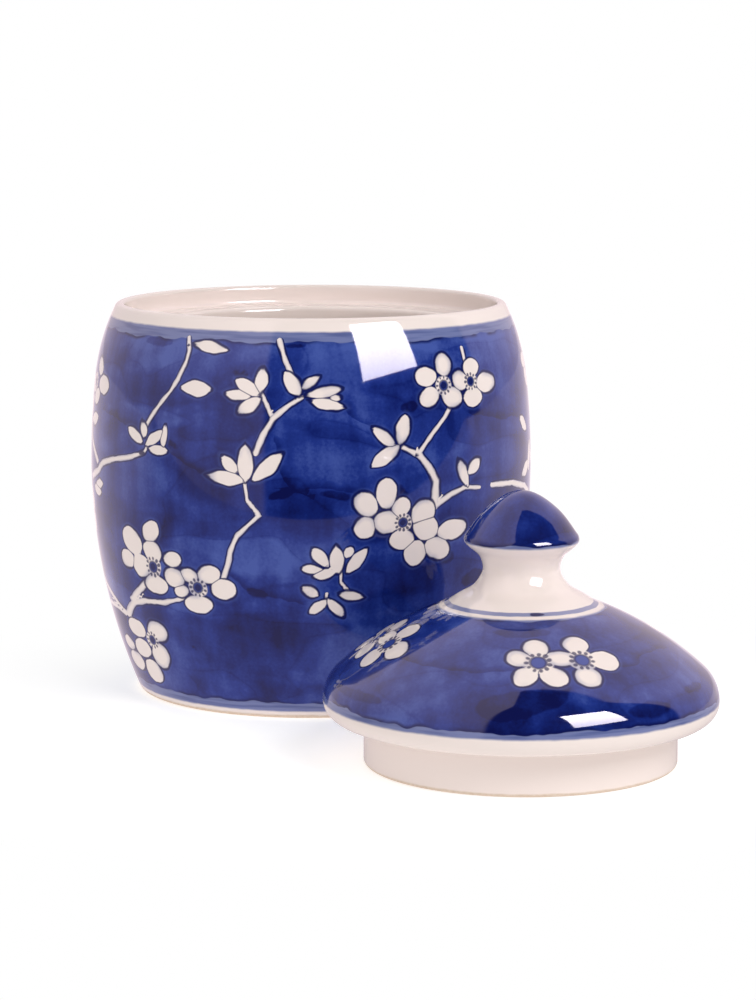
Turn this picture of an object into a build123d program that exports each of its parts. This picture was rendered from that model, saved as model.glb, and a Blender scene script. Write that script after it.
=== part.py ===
"""A glazed porcelain storage jar with its own domed lid.

The jar stands open at the origin.  Its lid stands beside it on its own flange, in front and to the
right, the way a lid is put down on a table.  +Z is up, and the origin is the centre of the foot ring
on the table.  All sizes are in millimetres.
"""

import os
from math import asin, degrees, radians, sin

from build123d import *

# ---- jar, outside ----------------------------------------------------------------------------
foot_height = 1.1  # the wiped, unglazed edge of the foot ring
belly_radius = 79.7
belly_height = 82.0
lower_curve = 207.0  # radius of the wall's curve from the foot up to the belly
upper_curve = 283.0  # from the belly up to the shoulder
shoulder_curve = 78.0  # the tighter curve that draws the wall in to the rim
shoulder_start = 113.6
shoulder_end = 138.9
rim_round = 2.4  # outer rounding of the rim

# ---- jar, inside -----------------------------------------------------------------------------
wall = 5.2
mouth_radius = 67.0  # the short wall above the gallery, where the lid's edge drops in
gallery_height = 133.2  # the ledge that carries the lid
gallery_radius = 53.2  # the opening that the lid's flange passes through
gallery_thickness = 5.6
gallery_nose = 1.6  # rounding of both its edges
gallery_corner = 1.6  # rounding where it meets the mouth
gallery_root = 116.0  # where its sloping underside meets the wall
root_round = 7.0
floor_height = 10.2
floor_round = 13.0
foot_width = 7.0
foot_draft = 2.6
foot_recess = 4.6

# ---- lid, upwards from the rim of its flange ---------------------------------------------------
lid_place = (71.0, -127.2)  # where its axis stands: just clear of the belly, all the way up
flange_radius = 51.5
flange_wall = 4.6
flange_round = 1.3
seat_height = 15.1  # underside of the edge, which rests on the gallery
edge_radius = 64.9
edge_height = 21.3  # where the edge is widest
edge_round = 13.2
edge_turn = 47.9  # degrees that the edge turns in before the dome takes over
dome_curve = 112.5
dome_turn = 20.6
lid_wall = 5.0
inside_round = 2.4

# ---- knob, upwards from the rim of the lid's flange --------------------------------------------
flare_points = [(20.6, 55.6), (15.4, 58.9), (12.6, 64.6), (13.7, 68.3)]
cap_under = (17.3, 71.6)
cap_edge = (18.8, 73.9)
cap_upper = (18.4, 76.5)
cap_points = [(16.7, 79.5), (12.1, 84.8)]
knob_top = 89.9


def turn_to(height, start, radius, turned=0.0):
    """Degrees that an arc turns on while it rises from start to height, after turned degrees."""
    return degrees(asin(sin(radians(turned)) + (height - start) / radius)) - turned


def rings_at(piece, height, radius=None):
    """Round edges of a piece at a height, all of them or those of one radius."""
    rings = piece.edges().filter_by(GeomType.CIRCLE)
    level = rings.filter_by(lambda ring: abs(ring.center().Z - height) < 0.01)
    return level.filter_by(lambda ring: radius is None or abs(ring.radius - radius) < 0.01)


os.makedirs("parts", exist_ok=True)

# ---- the jar: wall, floor, foot ring and gallery, one piece of clay ----------------------------
lower_turn = turn_to(belly_height, foot_height, lower_curve)
upper_turn = turn_to(shoulder_start, belly_height, upper_curve)
shoulder_turn = turn_to(shoulder_end, shoulder_start, shoulder_curve, upper_turn)
root_turn = turn_to(gallery_root, shoulder_start, shoulder_curve - wall, upper_turn)
inner_turn = turn_to(belly_height, floor_height, lower_curve - wall)

with BuildPart() as jar:
    with BuildSketch(Plane.XZ):
        with BuildLine():
            # Outside, from the belly down to the foot ring.
            belly = (belly_radius, belly_height)
            lower = JernArc(belly, (0, -1), radius=lower_curve, arc_size=-lower_turn)
            foot_outer = (lower @ 1).X - foot_height
            foot = TangentArc(lower @ 1, (foot_outer, 0), tangent=lower % 1)
            foot_inner = foot_outer - foot_width
            # Under the foot, up to the inside of the floor.
            Polyline(
                foot @ 1,
                (foot_inner, 0),
                (foot_inner - foot_draft, foot_recess),
                (0, foot_recess),
                (0, floor_height),
            )
            # Inside wall, one thickness in from the outside.
            inner_belly = (belly_radius - wall, belly_height)
            inner_lower = JernArc(
                inner_belly, (0, -1), radius=lower_curve - wall, arc_size=-inner_turn
            )
            Line((0, floor_height), inner_lower @ 1)
            inner_upper = JernArc(
                inner_belly, (0, 1), radius=upper_curve - wall, arc_size=upper_turn
            )
            inner_shoulder = JernArc(
                inner_upper @ 1,
                inner_upper % 1,
                radius=shoulder_curve - wall,
                arc_size=root_turn,
            )
            # Outside, from the belly up over the rounded rim into the mouth.
            upper = JernArc(belly, (0, 1), radius=upper_curve, arc_size=upper_turn)
            shoulder = JernArc(
                upper @ 1, upper % 1, radius=shoulder_curve, arc_size=shoulder_turn
            )
            rim_turn = 90 - upper_turn - shoulder_turn
            rim = JernArc(shoulder @ 1, shoulder % 1, radius=rim_round, arc_size=rim_turn)
            lip = JernArc(rim @ 1, (-1, 0), radius=(rim @ 1).X - mouth_radius, arc_size=90)
            # Mouth and gallery.
            Polyline(
                lip @ 1,
                (mouth_radius, gallery_height),
                (gallery_radius, gallery_height),
                (gallery_radius, gallery_height - gallery_thickness),
                inner_shoulder @ 1,
            )
            jar_height = (rim @ 1).Y
        make_face()
    revolve(axis=Axis.Z)
    root_height = (inner_shoulder @ 1).Y
    fillet(rings_at(jar, gallery_height, gallery_radius), gallery_nose)
    fillet(rings_at(jar, gallery_height - gallery_thickness, gallery_radius), gallery_nose)
    fillet(rings_at(jar, gallery_height, mouth_radius), gallery_corner)
    fillet(rings_at(jar, root_height), root_round)
    fillet(rings_at(jar, floor_height), floor_round)
jar.part.label = "jar"
export_step(jar.part, "parts/jar.step")

# ---- the lid: dome, edge and flange, an even wall of clay --------------------------------------
lid_plane = Plane(origin=(*lid_place, 0), x_dir=(1, 0, 0), z_dir=(0, -1, 0))
lid_axis = Axis(origin=(*lid_place, 0), direction=(0, 0, 1))
seat_round = edge_height - seat_height
flange_inside = flange_radius - flange_wall

with BuildPart() as lid:
    with BuildSketch(lid_plane):
        with BuildLine():
            # Outside, from the edge up over the dome to the flat that carries the knob.
            edge = JernArc((edge_radius, edge_height), (0, 1), radius=edge_round, arc_size=edge_turn)
            dome = JernArc(edge @ 1, edge % 1, radius=dome_curve, arc_size=dome_turn)
            crown_radius, crown_height = (dome @ 1).X, (dome @ 1).Y
            under_edge = JernArc(
                (edge_radius, edge_height), (0, -1), radius=seat_round, arc_size=-90
            )
            # The underside of the edge, the flange, and the way up inside it.
            seat_inside = seat_height + lid_wall
            Polyline(
                under_edge @ 1,
                (flange_radius, seat_height),
                (flange_radius, 0),
                (flange_inside, 0),
                (flange_inside, seat_inside),
                ((under_edge @ 1).X, seat_inside),
            )
            # Inside of the edge and dome, one thickness in.
            edge_inside = (edge_radius - lid_wall, edge_height)
            JernArc(edge_inside, (0, -1), radius=seat_round - lid_wall, arc_size=-90)
            inner_edge = JernArc(
                edge_inside, (0, 1), radius=edge_round - lid_wall, arc_size=edge_turn
            )
            inner_dome = JernArc(
                inner_edge @ 1, inner_edge % 1, radius=dome_curve - lid_wall, arc_size=dome_turn
            )
            Polyline(
                inner_dome @ 1,
                (0, (inner_dome @ 1).Y),
                (0, crown_height),
                (crown_radius, crown_height),
            )
        make_face()
    revolve(axis=lid_axis)
    fillet(rings_at(lid, 0), flange_round)
    fillet(rings_at(lid, seat_inside, flange_inside), inside_round)
lid.part.label = "lid"
export_step(lid.part, "parts/lid.step")

# ---- the knob: a solid mushroom, joined to the crown of the lid with slip -----------------------
with BuildPart() as lid_knob:
    with BuildSketch(lid_plane):
        with BuildLine():
            rise = dome % 1
            flare = Spline(
                [(crown_radius, crown_height), *flare_points, cap_under],
                tangents=[(rise.X, rise.Y), (1, 0.9)],
            )
            ThreePointArc(cap_under, cap_edge, cap_upper)
            Spline([cap_upper, *cap_points, (0, knob_top)], tangents=[(-0.35, 1), (-1, 0)])
            Polyline((0, knob_top), (0, crown_height), (crown_radius, crown_height))
        make_face()
    revolve(axis=lid_axis)
lid_knob.part.label = "lid_knob"
export_step(lid_knob.part, "parts/lid_knob.step")

print(f"jar {jar_height:.2f} high, foot radius {foot_outer:.2f}, rim crest at {(rim @ 1).X:.2f}")
print(f"crown of the lid {crown_height:.2f} high, radius {crown_radius:.2f}")
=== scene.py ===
"""Looks of a hand-painted blue and white porcelain jar and its lid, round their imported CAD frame.

Each turned piece is drawn as a half section, turned round its axis by Geometry Nodes, and then
painted: prunus blossoms, leaves and stems are left bare in a cobalt wash, under a clear glaze.
Design sizes are in millimetres, meshes in metres, and angles on a piece are in degrees round its
axis, from 0 at the front towards +X.
"""

import logging
from collections.abc import Callable, Mapping, Sequence
from dataclasses import dataclass, field, replace
from enum import Enum
from functools import partial
from math import asin, atan2, ceil, cos, degrees, pi, radians, sin, tan
from typing import Any

import bpy
import numpy as np
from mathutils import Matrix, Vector

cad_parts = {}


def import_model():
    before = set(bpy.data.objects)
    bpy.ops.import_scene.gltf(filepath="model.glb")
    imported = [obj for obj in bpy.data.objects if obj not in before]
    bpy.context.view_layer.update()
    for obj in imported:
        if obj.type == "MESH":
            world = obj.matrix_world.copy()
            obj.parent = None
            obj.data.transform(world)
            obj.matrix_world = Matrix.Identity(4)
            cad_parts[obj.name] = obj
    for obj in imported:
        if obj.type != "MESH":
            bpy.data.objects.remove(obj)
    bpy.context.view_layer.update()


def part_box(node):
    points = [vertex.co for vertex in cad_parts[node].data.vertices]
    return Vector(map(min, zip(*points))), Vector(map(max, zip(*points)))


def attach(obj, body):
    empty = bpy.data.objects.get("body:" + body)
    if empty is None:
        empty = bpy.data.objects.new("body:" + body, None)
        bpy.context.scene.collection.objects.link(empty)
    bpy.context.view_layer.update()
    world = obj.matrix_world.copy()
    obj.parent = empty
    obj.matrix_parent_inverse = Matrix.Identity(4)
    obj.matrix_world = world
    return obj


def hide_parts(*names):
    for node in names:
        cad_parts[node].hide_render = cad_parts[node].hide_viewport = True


log = logging.getLogger("jar")

MM = 0.001
FAR = 6.0  # distances to a motif are kept up to this many millimetres
BEYOND = 200.0  # and distances to the wash's edges up to this many
NOWHERE = 99.0  # the distance where there is no stroke
Spot = tuple[float, float]
Place = tuple[float, float, float]
Rows = tuple[tuple[float, ...], ...]
Array = np.ndarray
Kind = tuple[str, str, str]  # a node's type, one of its settings, and that setting's value
SUMS = (
    "ADD", "SUBTRACT", "MULTIPLY", "DIVIDE", "MULTIPLY_ADD", "ABSOLUTE", "MINIMUM", "MAXIMUM",
    "MODULO", "FLOOR", "FRACT", "ARCTAN2",
)  # fmt: skip
ADD, SUBTRACT, MULTIPLY, DIVIDE, MULTIPLY_ADD, ABSOLUTE, MINIMUM, MAXIMUM, MODULO, FLOOR, FRACT, ARCTAN2 = (
    ("ShaderNodeMath", "operation", name) for name in SUMS
)
SMOOTH: Kind = ("ShaderNodeMapRange", "interpolation_type", "SMOOTHSTEP")
MIX: Kind = ("ShaderNodeMix", "data_type", "RGBA")
MIXED = 2  # the output of a colour mix; its colours go in at 6 and 7


def linear(colour: str) -> tuple[float, float, float, float]:
    """Turns an sRGB hex colour into Blender's linear one.

    Args:
        colour: six hex digits after a hash.

    Returns:
        Red, green, blue and an alpha of 1.
    """
    parts = [int(colour[i : i + 2], 16) / 255 for i in (1, 3, 5)]
    red, green, blue = [c / 12.92 if c <= 0.04045 else ((c + 0.055) / 1.055) ** 2.4 for c in parts]
    return red, green, blue, 1.0


def add(
    tree: bpy.types.NodeTree,
    kind: str | Kind,
    inputs: Mapping[str | int, Any] | Sequence[Any] = (),
    out: str | int = 0,
    **settings: Any,
) -> Any:
    """Adds a node with its settings and links.

    Args:
        tree: the node tree that gets it.
        kind: the node's type, alone or with a setting.
        inputs: values or other nodes' outputs, for the first inputs in order or by name or number.
        out: which output is wanted.
        settings: the node's own settings.

    Returns:
        The wanted output, or the node where it has none.
    """
    if not isinstance(kind, str):
        kind, setting, choice = kind
        settings[setting] = choice
    node = tree.nodes.new(kind)
    for name, value in settings.items():
        setattr(node, name, value)
    for key, value in inputs.items() if isinstance(inputs, Mapping) else enumerate(inputs):
        if isinstance(value, bpy.types.NodeSocket):
            tree.links.new(value, node.inputs[key])
        else:
            node.inputs[key].default_value = value
    return node.outputs[out] if len(node.outputs) else node


def emptied(owner: bpy.types.Material | bpy.types.World) -> bpy.types.NodeTree:
    """Gives a new material or world an empty node tree."""
    owner.use_nodes = True
    owner.node_tree.nodes.clear()
    return owner.node_tree


def shown(name: str, data: bpy.types.ID) -> bpy.types.Object:
    """Makes an object and puts it in the scene."""
    thing = bpy.data.objects.new(name, data)
    bpy.context.scene.collection.objects.link(thing)
    return thing


# ---- half sections ------------------------------------------------------------------------------


class Outline:
    """A half section drawn from point to point, each (radius, height) from the piece's axis.

    A heading of 0 leads away from the axis, and 90 upwards.
    """

    def __init__(self, start: Spot, heading: float = 0.0) -> None:
        """Starts at a point, facing a heading in degrees."""
        self.points: list[Spot] = [start]
        self.heading = heading

    def arc(self, radius: float, turn: float, step: float = 1.0) -> "Outline":
        """Goes on along a tangent arc.

        Args:
            radius: the arc's radius.
            turn: degrees that it bends, to the left where positive.
            step: about how far apart its points are.

        Returns:
            The outline itself.
        """
        side = 1 if turn > 0 else -1
        start = radians(self.heading)
        r, z = self.points[-1]
        mid_r, mid_z = r - side * radius * sin(start), z + side * radius * cos(start)
        count = max(3, ceil(radius * abs(radians(turn)) / step))
        for i in range(1, count + 1):
            now = start + radians(turn) * i / count
            self.points.append((mid_r + side * radius * sin(now), mid_z - side * radius * cos(now)))
        self.heading += turn
        return self

    def run(self, corners: Sequence[tuple[float, float, float]], step: float = 2.0) -> "Outline":
        """Goes straight from corner to corner.

        Args:
            corners: radius, height and rounding of each; the last one isn't rounded.
            step: about how far apart the points are.

        Returns:
            The outline itself.
        """
        for i, (r, z, rounding) in enumerate(corners):
            here, corner = Vector(self.points[-1]), Vector((r, z))
            way = (corner - here).normalized()
            turn = 0.0
            if rounding and i + 1 < len(corners):
                onward = Vector(corners[i + 1][:2]) - corner
                turn = atan2(onward.y, onward.x) - atan2(way.y, way.x)
                turn = (turn + pi) % (2 * pi) - pi
            end = corner - way * rounding * tan(abs(turn) / 2)
            count = max(1, ceil((end - here).length / step))
            self.points += [tuple(here.lerp(end, k / count)) for k in range(1, count + 1)]
            self.heading = degrees(atan2(way.y, way.x))
            if turn:
                self.arc(rounding, degrees(turn), max(0.3, rounding / 3))
        return self

    def curve(self, points: Sequence[Spot], leave: float, arrive: float, step: float = 0.8) -> "Outline":
        """Goes on smoothly through points.

        Args:
            points: the points, the last one its end.
            leave: heading at its start.
            arrive: heading at its end.
            step: about how far apart its points are.

        Returns:
            The outline itself.
        """
        knots = np.array([self.points[-1], *points])
        chord = np.hypot(*np.diff(knots, axis=0).T)
        slope = np.gradient(knots, np.concatenate([[0], np.cumsum(chord)]), axis=0)
        slope[0] = cos(radians(leave)), sin(radians(leave))
        slope[-1] = cos(radians(arrive)), sin(radians(arrive))
        for i, length in enumerate(chord):
            for t in np.linspace(0, 1, max(3, ceil(length / step)) + 1)[1:]:
                ends = knots[i] * (1 + 2 * t) * (1 - t) ** 2 + knots[i + 1] * t * t * (3 - 2 * t)
                lean = slope[i] * t * (1 - t) ** 2 - slope[i + 1] * t * t * (1 - t)
                self.points.append(tuple(ends + lean * length))
        self.heading = arrive
        return self

    def lengths(self) -> Array:
        """Distance along the outline at each of its points."""
        steps = np.hypot(*np.diff(np.array(self.points), axis=0).T)
        return np.concatenate([[0.0], np.cumsum(steps)])


@dataclass(frozen=True)
class Lathe:
    """Turns a half section round an upright axis into a closed mesh, with Geometry Nodes."""

    segments: int = 400
    weld: float = 1e-6  # metres within which points are one, on the axis and at the seam
    crease: float = 40.0  # degrees past which an edge is sharp

    def tree(self) -> bpy.types.NodeTree:
        """The node tree: a grid with a row for each point of the section and a column for each turn."""
        tree = bpy.data.node_groups.new("turned_on_the_wheel", "GeometryNodeTree")
        for name in ("Geometry Section", "Int Segments", "Vector Axis", "Material Finish"):
            kind, name = name.split()
            tree.interface.new_socket(name, in_out="INPUT", socket_type="NodeSocket" + kind)
        tree.interface.new_socket("Piece", in_out="OUTPUT", socket_type="NodeSocketGeometry")
        node = partial(add, tree)
        given = node("NodeGroupInput").node.outputs
        section, segments = given["Section"], given["Segments"]
        rows = node("GeometryNodeAttributeDomainSize", (section,), component="MESH")
        columns = node(ADD, (segments, 1.0))
        grid = node("GeometryNodeMeshGrid", {"Vertices X": columns, "Vertices Y": rows})
        index = node("GeometryNodeInputIndex")
        row = node(MODULO, (index, rows))
        share = node(DIVIDE, (node(ADD, (index, 0.5)), rows))
        part = node(DIVIDE, (node(FLOOR, (share,)), segments))
        angle = node(MULTIPLY, (part, 2 * pi))
        spots = {"Geometry": section, "Value": node("GeometryNodeInputPosition"), "Index": row}
        drawn = node("GeometryNodeSampleIndex", spots, data_type="FLOAT_VECTOR", domain="POINT")
        turned = node("ShaderNodeVectorRotate", {"Vector": drawn, "Axis": (0, 0, 1), "Angle": angle})
        place = node("ShaderNodeVectorMath", (turned, given["Axis"]), operation="ADD")
        shaped = node("GeometryNodeSetPosition", {"Geometry": grid, "Position": place})
        noted = {"Geometry": shaped, "Name": "row", "Value": row}
        noted = node("GeometryNodeStoreNamedAttribute", noted, data_type="FLOAT", domain="POINT")
        closed = node("GeometryNodeMergeByDistance", {"Geometry": noted, "Distance": self.weld})
        smooth = node("GeometryNodeSetShadeSmooth", {"Geometry": closed})
        real = node("GeometryNodeRealizeInstances", {"Geometry": smooth})
        done = node("GeometryNodeSetMaterial", {"Geometry": real, "Material": given["Finish"]})
        node("NodeGroupOutput", (done,))
        return tree

    def turn(self, name: str, outline: Outline, axis: Vector, finish: bpy.types.Material) -> bpy.types.Object:
        """Turns a section into a plain mesh object.

        Args:
            name: the piece's name.
            outline: its half section, closed on the axis.
            axis: where its axis meets the ground, in metres.
            finish: the material.

        Returns:
            The piece, at the origin, with a float attribute "row".
        """
        line = bpy.data.meshes.new("section")
        spots = [(r * MM, 0.0, z * MM) for r, z in outline.points]
        line.from_pydata(spots, [(i, i + 1) for i in range(len(spots) - 1)], [])
        holder = shown("section", line)
        tree = self.tree()
        modifier = holder.modifiers.new("wheel", "NODES")
        modifier.node_group = tree
        sockets = {s.name: s.identifier for s in tree.interface.items_tree if s.in_out == "INPUT"}
        modifier[sockets["Segments"]] = self.segments
        modifier[sockets["Axis"]] = tuple(axis)
        modifier[sockets["Finish"]] = finish
        ready = holder.evaluated_get(bpy.context.evaluated_depsgraph_get())
        mesh = bpy.data.meshes.new_from_object(ready)
        holder.modifiers.remove(modifier)
        bpy.data.objects.remove(holder)
        bpy.data.meshes.remove(line)
        bpy.data.node_groups.remove(tree)
        mesh.name = name
        mesh.set_sharp_from_angle(angle=radians(self.crease))
        return shown(name, mesh)


# ---- brushwork ----------------------------------------------------------------------------------


class Shape(Enum):
    """What a bare shape in the blue looks like."""

    PETAL = "petal"
    LEAF = "leaf"


@dataclass(frozen=True)
class Bare:
    """A petal or leaf left bare: its middle, its size along and across, and its lean from level."""

    shape: Shape
    angle: float
    height: float
    along: float
    across: float
    lean: float = 0.0

    def distance(self, x: Array, y: Array) -> Array:
        """Signed distance from its edge, negative inside, of points given from its middle."""
        c, s = cos(radians(self.lean)), sin(radians(self.lean))
        u, v = x * c + y * s, y * c - x * s
        a, b = self.along / 2, self.across / 2
        if self.shape is Shape.LEAF:
            big = (a * a + b * b) / (2 * b)
            return np.maximum(np.hypot(u, v + big - b), np.hypot(u, v - big + b)) - big
        near = np.hypot(u / a, v / b)
        return near * (near - 1) / np.maximum(np.hypot(u / a**2, v / b**2), 1e-6)


@dataclass(frozen=True)
class Stroke:
    """A line of the brush through points (angle, height), with its half width at both ends."""

    path: tuple[Spot, ...]
    start: float = 0.8
    end: float = 0.8


@dataclass(frozen=True)
class Painting:
    """Everything that is painted on one piece."""

    petals: Rows = ()
    leaves: Rows = ()
    stems: tuple[Stroke, ...] = ()
    hearts: Rows = ()
    washes: tuple[Stroke, ...] = ()
    pools: Rows = ()
    knots: Rows = ()

    def turned(self, angle: float, mirrored: bool = False) -> "Painting":
        """The same painting again, further round the piece.

        Args:
            angle: degrees that it is carried round.
            mirrored: whether left and right are swapped.

        Returns:
            The new painting.
        """
        way = -1 if mirrored else 1
        moved: dict[str, Any] = {}
        for part, rows in vars(self).items():
            if part in ("stems", "washes"):
                paths = [tuple((way * a + angle, h) for a, h in stroke.path) for stroke in rows]
                moved[part] = tuple(replace(stroke, path=path) for stroke, path in zip(rows, paths))
            else:
                moved[part] = tuple((way * r[0] + angle, *r[1:4], *(way * n for n in r[4:])) for r in rows)
        return Painting(**moved)

    def joined(self, *others: "Painting") -> "Painting":
        """This painting and others as one."""
        every = (self, *others)
        return Painting(**{part: sum((getattr(p, part) for p in every), ()) for part in vars(self)})


@dataclass
class Skin:
    """The points of a turned piece as a painter sees them: angle, radius and way up the wall."""

    piece: bpy.types.Object
    outline: Outline
    axis: Vector
    angle: Array = field(init=False)
    radius: Array = field(init=False)
    way: Array = field(init=False)

    def __post_init__(self) -> None:
        """Reads the mesh."""
        mesh = self.piece.data
        spots = np.empty(len(mesh.vertices) * 3, np.float32)
        mesh.vertices.foreach_get("co", spots)
        spots = spots.reshape(-1, 3).astype(float) - np.array(self.axis)
        row = np.empty(len(mesh.vertices), np.float32)
        mesh.attributes["row"].data.foreach_get("value", row)
        mesh.attributes.remove(mesh.attributes["row"])
        self.angle = np.degrees(np.arctan2(spots[:, 0], -spots[:, 1]))
        self.radius = np.hypot(spots[:, 0], spots[:, 1]) / MM
        self.way = np.interp(row, np.arange(len(self.outline.points)), self.outline.lengths())

    def way_at(self, level: float, by_radius: bool, outside: slice) -> float:
        """The way up the wall at a height, or at a radius where the wall is a dome.

        Args:
            level: the height or radius.
            by_radius: whether level is a radius.
            outside: the outline's points on the painted side.

        Returns:
            Distance along the outline.
        """
        points = np.array(self.outline.points)[outside]
        ways = self.outline.lengths()[outside]
        if by_radius:
            return float(np.interp(-level, -points[:, 0], ways))
        return float(np.interp(level, points[:, 1], ways))

    def keep(self, name: str, values: Array) -> None:
        """Writes an attribute of one or three numbers to each point of the mesh."""
        kind, key = ("FLOAT", "value") if values.ndim == 1 else ("FLOAT_VECTOR", "vector")
        made = self.piece.data.attributes.new(name, kind, "POINT")
        made.data.foreach_set(key, values.astype(np.float32).ravel())

    def keep_edges(self, low: float, high: float, ring: float | None = None) -> None:
        """Writes how far each point is inside the wash's edges and past a painted ring.

        Args:
            low: where the wash starts, along the outline.
            high: where it ends.
            ring: where the ring is, if there is one.
        """
        past = self.way * 0 + FAR if ring is None else self.way - ring
        edges = np.stack([self.way - low, high - self.way, past], 1)
        self.keep("skin", np.clip(edges, -FAR, BEYOND))


@dataclass
class Painter:
    """Lays a painting on a skin as distances from every motif's edge."""

    skin: Skin
    level: Callable[[float], float]
    radius: Callable[[float], float]
    heavy: Spot = (-0.5, -0.2)  # which way a petal's line is heavier
    heavy_stem: Spot = (0.5, -0.2)  # and a stem's
    off_stem: float = 4.0  # the offset across a stem, in half widths, where there is none
    off_heart: float = 8.0  # and the same for a heart

    def local(self, angle: float, height: float, reach: float) -> tuple[Array, Array, Array]:
        """Points near a spot.

        Args:
            angle: the spot's angle.
            height: its height, or radius on a dome.
            reach: how far to look.

        Returns:
            Indices of the points, and their offsets round and up from the spot.
        """
        turn = (self.skin.angle - angle + 180) % 360 - 180
        x = np.radians(turn) * self.skin.radius
        y = self.skin.way - self.level(height)
        near = np.flatnonzero((np.abs(x) < reach) & (np.abs(y) < reach) & (np.abs(turn) < 90))
        return near, x[near], y[near]

    def bare(self, painting: Painting) -> tuple[Array, Array]:
        """Lays out petals and leaves.

        Args:
            painting: what is painted.

        Returns:
            Distances to them in three channels that neighbours don't share, and the distance to
            all of them shifted a little to the left, where the brush leaves its heavier line.
        """
        field_ = np.full((len(self.skin.way), 3), FAR)
        shadow = np.full(len(self.skin.way), FAR)
        placed: list[list[Array]] = [[], [], []]
        shapes = [Bare(Shape.PETAL, *p) for p in painting.petals]
        shapes += [Bare(Shape.LEAF, *p) for p in painting.leaves]
        for shape in shapes:
            size = self.radius(shape.height)
            turn = radians(shape.angle)
            spot = np.array([size * cos(turn), size * sin(turn), self.level(shape.height)])
            room = [min([np.linalg.norm(spot - s) for s in group], default=1e3) for group in placed]
            channel = int(np.argmax(room))
            placed[channel].append(spot)
            near, x, y = self.local(shape.angle, shape.height, shape.along / 2 + FAR)
            field_[near, channel] = np.minimum(field_[near, channel], shape.distance(x, y))
            cast = shape.distance(x - self.heavy[0], y - self.heavy[1])
            shadow[near] = np.minimum(shadow[near], cast)
        return field_, shadow

    def spots(self, rows: Rows) -> Array:
        """Distance to the nearest of some round spots of paint."""
        least = np.full(len(self.skin.way), FAR)
        for row in rows:
            shape = Bare(Shape.PETAL, *row)
            near, x, y = self.local(shape.angle, shape.height, shape.along / 2 + FAR)
            least[near] = np.minimum(least[near], shape.distance(x, y))
        return least

    def along(self, stroke: Stroke, shift: Spot = (0.0, 0.0)) -> tuple[Array, Array, Array]:
        """Distance to a stroke's line and to its edge, and how far across it each point is.

        Args:
            stroke: the stroke.
            shift: how far the stroke is moved, to the right and up.

        Returns:
            For every point of the skin: distance to the line, that less the half width, and the
            offset across the line, as a share of the half width where it is inside.
        """
        angles = [a for a, _ in stroke.path]
        mid = (min(angles) + max(angles)) / 2
        turn = (self.skin.angle - mid + 180) % 360 - 180
        spots = np.stack([np.radians(turn) * self.skin.radius, self.skin.way], 1) - np.array(shift)
        knots = [np.array([radians(a - mid) * self.radius(h), self.level(h)]) for a, h in stroke.path]
        line = np.full(len(spots), NOWHERE)
        edge = np.full(len(spots), NOWHERE)
        side = np.zeros(len(spots))
        widths = np.linspace(stroke.start, stroke.end, len(knots))
        for a, b, w0, w1 in zip(knots, knots[1:], widths, widths[1:]):
            run = b - a
            share = np.clip((spots - a) @ run / (run @ run), 0, 1)
            off = spots - a - share[:, None] * run
            far = np.hypot(*off.T)
            closer = far < line
            line = np.where(closer, far, line)
            width = w0 + (w1 - w0) * share
            edge = np.minimum(edge, far - width)
            across = (off[:, 1] * run[0] - off[:, 0] * run[1]) / np.hypot(*run)
            inside = np.abs(across) < width
            across = np.where(inside, across / width, np.sign(across) * (1 + np.abs(across) - width))
            side = np.where(closer, across, side)
        return line, edge, side

    def paint(self, painting: Painting) -> None:
        """Writes the attributes that the painted finish reads."""
        count = len(self.skin.way)
        petals, shadow = self.bare(painting)
        stems = np.tile([self.off_stem, FAR, FAR], (count, 1))
        for stem in painting.stems:
            _, edge, side = self.along(stem)
            nearer = edge < stems[:, 1]
            stems[nearer, 0], stems[nearer, 1] = side[nearer], edge[nearer]
            stems[:, 2] = np.minimum(stems[:, 2], self.along(stem, self.heavy_stem)[1])
        hearts = np.full((count, 3), self.off_heart)
        for angle, height, size in painting.hearts:
            near, x, y = self.local(angle, height, 5 * size)
            rho = np.hypot(x, y) / size
            nearer = rho < hearts[near, 2]
            hearts[near[nearer]] = np.stack([x / size, y / size, rho], 1)[nearer]
        wash = np.tile([0.0, NOWHERE, FAR], (count, 1))
        for stroke in painting.washes:
            line, _, side = self.along(stroke)
            nearer = line < wash[:, 1]
            wash[nearer, 0], wash[nearer, 1] = side[nearer], line[nearer]
        wash[:, 2] = self.spots(painting.pools)
        for name, values in (
            ("petals", petals),
            ("stems", stems),
            ("shadow", shadow),
            ("hearts", hearts),
            ("wash", wash),
            ("knots", self.spots(painting.knots)),
        ):
            self.skin.keep(name, values)


# ---- finishes -----------------------------------------------------------------------------------


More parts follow.
